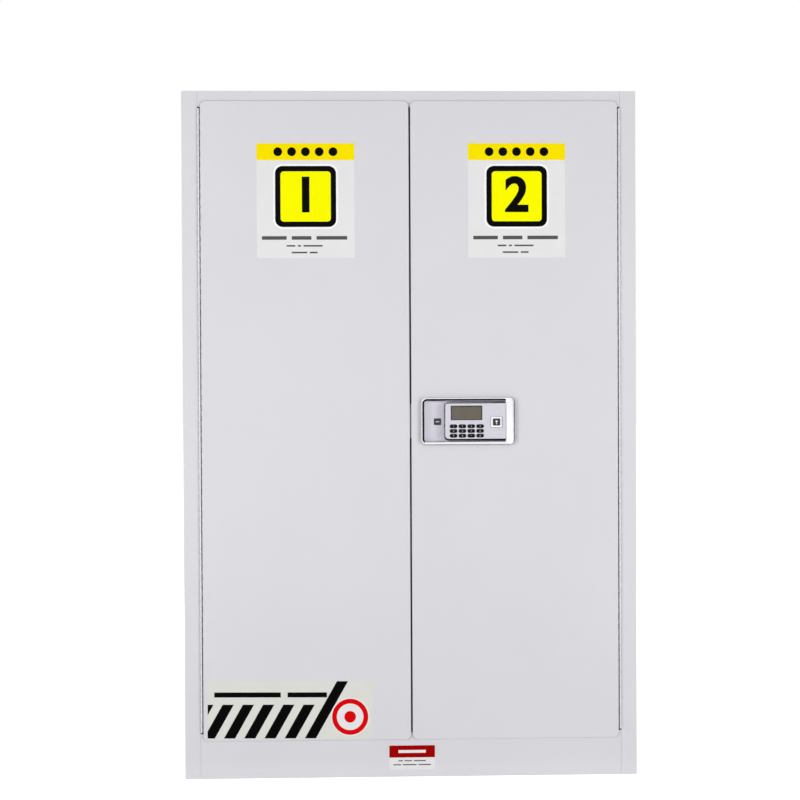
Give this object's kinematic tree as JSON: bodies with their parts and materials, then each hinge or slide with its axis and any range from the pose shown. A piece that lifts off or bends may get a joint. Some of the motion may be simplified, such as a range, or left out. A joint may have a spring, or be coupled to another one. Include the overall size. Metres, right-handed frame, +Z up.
{
  "type": "reagent safety cabinet",
  "caption": "Tall two-door double-walled steel cabinet for reagents, with full-height piano hinges and a recessed keypad lock that drives rods and a bolt.",
  "frame": {"origin": "middle of the base: the footprint's centre, front to back taken over lock and vents", "axes": "+X to the right seen from the front, +Y to the back, +Z up; the doors face -Y"},
  "size_m": [1.09, 0.4856, 1.65],
  "materials": {
    "outer_paint": "satin powder coat, pale lavender grey",
    "inner_paint": "satin powder coat, pale grey",
    "shelf_steel": "galvanised",
    "hinge_steel": "satin",
    "seal_rubber": "matte",
    "plated_steel": "zinc plated",
    "bezel_silver": "silver lacquer, bright rim",
    "cover_dark": "gloss",
    "display_window": "smoked window",
    "board_green": "solder mask",
    "battery_plastic": "fine texture",
    "lock_brass": "machined",
    "vent_steel": "zinc plated",
    "key_black": "satin"
  },
  "bodies": {
    "root": {"outer_side_left": "outer_paint", "outer_side_right": "outer_paint", "outer_back": "outer_paint", "top_panel": "outer_paint", "base_panel": "outer_paint", "head_rail": "outer_paint", "plinth_rail": "outer_paint", "liner_left": "inner_paint", "liner_right": "inner_paint", "liner_back": "inner_paint", "liner_ceiling": "inner_paint", "sump_tray": "inner_paint", "tray_bearers": "inner_paint", "uprights_left": "shelf_steel", "uprights_right": "shelf_steel", "shelf_lower": "shelf_steel", "shelf_upper": "shelf_steel", "shelf_clips": "shelf_steel", "hinge_left_frame_leaf": "hinge_steel", "hinge_left_pin": "hinge_steel", "hinge_right_frame_leaf": "hinge_steel", "hinge_right_pin": "hinge_steel", "rear_vents": "vent_steel", "flame_arresters": "vent_steel"},
    "door_left": {"door_left_outer": "outer_paint", "door_left_inner": "inner_paint", "door_left_seals": "seal_rubber", "hinge_left_door_leaf": "hinge_steel", "strike_plate": "plated_steel"},
    "door_right": {"door_right_outer": "outer_paint", "door_right_inner": "inner_paint", "door_right_seals": "seal_rubber", "hinge_right_door_leaf": "hinge_steel", "lock_bezel": "bezel_silver", "keypad_housing": "bezel_silver", "display_window": "display_window", "circuit_board": "board_green", "lock_case": "plated_steel", "lock_faceplate": "plated_steel", "rod_guides": "plated_steel", "battery_box": "battery_plastic", "drive_motor": "plated_steel"},
    "key_1_1": {"key_1_1": "key_black"},
    "key_1_2": {"key_1_2": "key_black"},
    "key_1_3": {"key_1_3": "key_black"},
    "key_1_4": {"key_1_4": "key_black"},
    "key_2_1": {"key_2_1": "key_black"},
    "key_2_2": {"key_2_2": "key_black"},
    "key_2_3": {"key_2_3": "key_black"},
    "key_2_4": {"key_2_4": "key_black"},
    "key_3_1": {"key_3_1": "key_black"},
    "key_3_2": {"key_3_2": "key_black"},
    "key_3_3": {"key_3_3": "key_black"},
    "key_3_4": {"key_3_4": "key_black"},
    "key_cover": {"key_cover": "cover_dark"},
    "pinion": {"pinion": "lock_brass"},
    "drive_pinion": {"drive_pinion": "lock_brass"},
    "top_rod": {"top_rod": "plated_steel"},
    "bottom_rod": {"bottom_rod": "plated_steel"},
    "centre_bolt": {"centre_bolt": "plated_steel"}
  },
  "joints": [
    {"name": "door_left_hinge", "type": "hinge", "parent": "root", "child": "door_left", "pos_m": [-0.5048, -0.2252, 0], "axis": [0, 0, -1], "range_deg": [0, 170]},
    {"name": "door_right_hinge", "type": "hinge", "parent": "root", "child": "door_right", "pos_m": [0.5048, -0.2252, 0], "axis": [0, 0, 1], "range_deg": [0, 170]},
    {"name": "top_rod_slide", "type": "slide", "parent": "door_right", "child": "top_rod", "axis": [0, 0, 1], "range_m": [0, 0.015]},
    {"name": "bottom_rod_slide", "type": "slide", "parent": "door_right", "child": "bottom_rod", "axis": [0, 0, -1], "range_m": [0, 0.015]},
    {"name": "centre_bolt_slide", "type": "slide", "parent": "door_right", "child": "centre_bolt", "axis": [-1, 0, 0], "range_m": [0, 0.015]},
    {"name": "pinion_turn", "type": "hinge", "parent": "door_right", "child": "pinion", "pos_m": [0.2056, -0.2222, 0.8522], "axis": [0, 1, 0], "range_deg": [0, 86]},
    {"name": "drive_pinion_turn", "type": "hinge", "parent": "door_right", "child": "drive_pinion", "pos_m": [0.2056, -0.2222, 0.8703], "axis": [0, 1, 0], "range_deg": [-107.5, 0]},
    {"name": "key_cover_pivot", "type": "hinge", "parent": "door_right", "child": "key_cover", "pos_m": [0.2056, -0.2402, 0.8643], "axis": [0, 1, 0], "range_deg": [0, 90]},
    {"name": "key_1_1_press", "type": "slide", "parent": "door_right", "child": "key_1_1", "axis": [0, 1, 0], "range_m": [0, 0.0012], "stiffness_N_per_m": 300, "springref_m": -0.0005},
    {"name": "key_1_2_press", "type": "slide", "parent": "door_right", "child": "key_1_2", "axis": [0, 1, 0], "range_m": [0, 0.0012], "stiffness_N_per_m": 300, "springref_m": -0.0005},
    {"name": "key_1_3_press", "type": "slide", "parent": "door_right", "child": "key_1_3", "axis": [0, 1, 0], "range_m": [0, 0.0012], "stiffness_N_per_m": 300, "springref_m": -0.0005},
    {"name": "key_1_4_press", "type": "slide", "parent": "door_right", "child": "key_1_4", "axis": [0, 1, 0], "range_m": [0, 0.0012], "stiffness_N_per_m": 300, "springref_m": -0.0005},
    {"name": "key_2_1_press", "type": "slide", "parent": "door_right", "child": "key_2_1", "axis": [0, 1, 0], "range_m": [0, 0.0012], "stiffness_N_per_m": 300, "springref_m": -0.0005},
    {"name": "key_2_2_press", "type": "slide", "parent": "door_right", "child": "key_2_2", "axis": [0, 1, 0], "range_m": [0, 0.0012], "stiffness_N_per_m": 300, "springref_m": -0.0005},
    {"name": "key_2_3_press", "type": "slide", "parent": "door_right", "child": "key_2_3", "axis": [0, 1, 0], "range_m": [0, 0.0012], "stiffness_N_per_m": 300, "springref_m": -0.0005},
    {"name": "key_2_4_press", "type": "slide", "parent": "door_right", "child": "key_2_4", "axis": [0, 1, 0], "range_m": [0, 0.0012], "stiffness_N_per_m": 300, "springref_m": -0.0005},
    {"name": "key_3_1_press", "type": "slide", "parent": "door_right", "child": "key_3_1", "axis": [0, 1, 0], "range_m": [0, 0.0012], "stiffness_N_per_m": 300, "springref_m": -0.0005},
    {"name": "key_3_2_press", "type": "slide", "parent": "door_right", "child": "key_3_2", "axis": [0, 1, 0], "range_m": [0, 0.0012], "stiffness_N_per_m": 300, "springref_m": -0.0005},
    {"name": "key_3_3_press", "type": "slide", "parent": "door_right", "child": "key_3_3", "axis": [0, 1, 0], "range_m": [0, 0.0012], "stiffness_N_per_m": 300, "springref_m": -0.0005},
    {"name": "key_3_4_press", "type": "slide", "parent": "door_right", "child": "key_3_4", "axis": [0, 1, 0], "range_m": [0, 0.0012], "stiffness_N_per_m": 300, "springref_m": -0.0005}
  ],
  "couplings": [
    {"joint": "bottom_rod_slide", "follows": "top_rod_slide", "ratio": 1},
    {"joint": "centre_bolt_slide", "follows": "top_rod_slide", "ratio": 1},
    {"joint": "pinion_turn", "follows": "top_rod_slide", "rad_per_m": 100},
    {"joint": "drive_pinion_turn", "follows": "top_rod_slide", "rad_per_m": -125}
  ]
}
